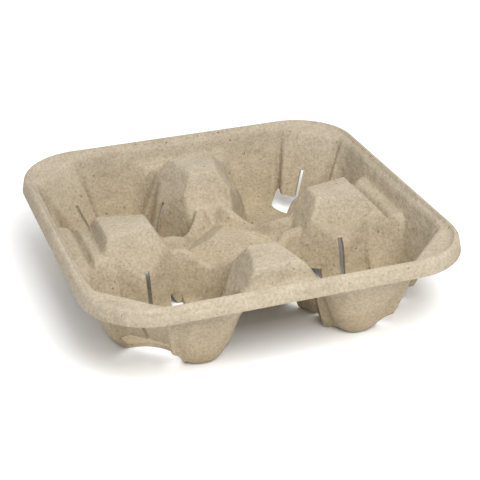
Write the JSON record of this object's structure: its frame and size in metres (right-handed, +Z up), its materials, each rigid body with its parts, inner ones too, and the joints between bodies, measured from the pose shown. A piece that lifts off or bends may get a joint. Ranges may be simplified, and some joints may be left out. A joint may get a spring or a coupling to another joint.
{
  "type": "cup carrier",
  "caption": "Moulded paper pulp carrier with deep sprung seats for take-away cups, joined by a hub, posts and a flat rim with a turned-down lip.",
  "frame": {"origin": "middle of the foot plane, on the axis through the hub", "axes": "+Z up out of the seats, X and Y along the sides of the rim"},
  "size_m": [0.216, 0.216, 0.05],
  "materials": {
    "pulp": "matte"
  },
  "bodies": {
    "root": {"cup_carrier": "pulp"}
  },
  "joints": []
}
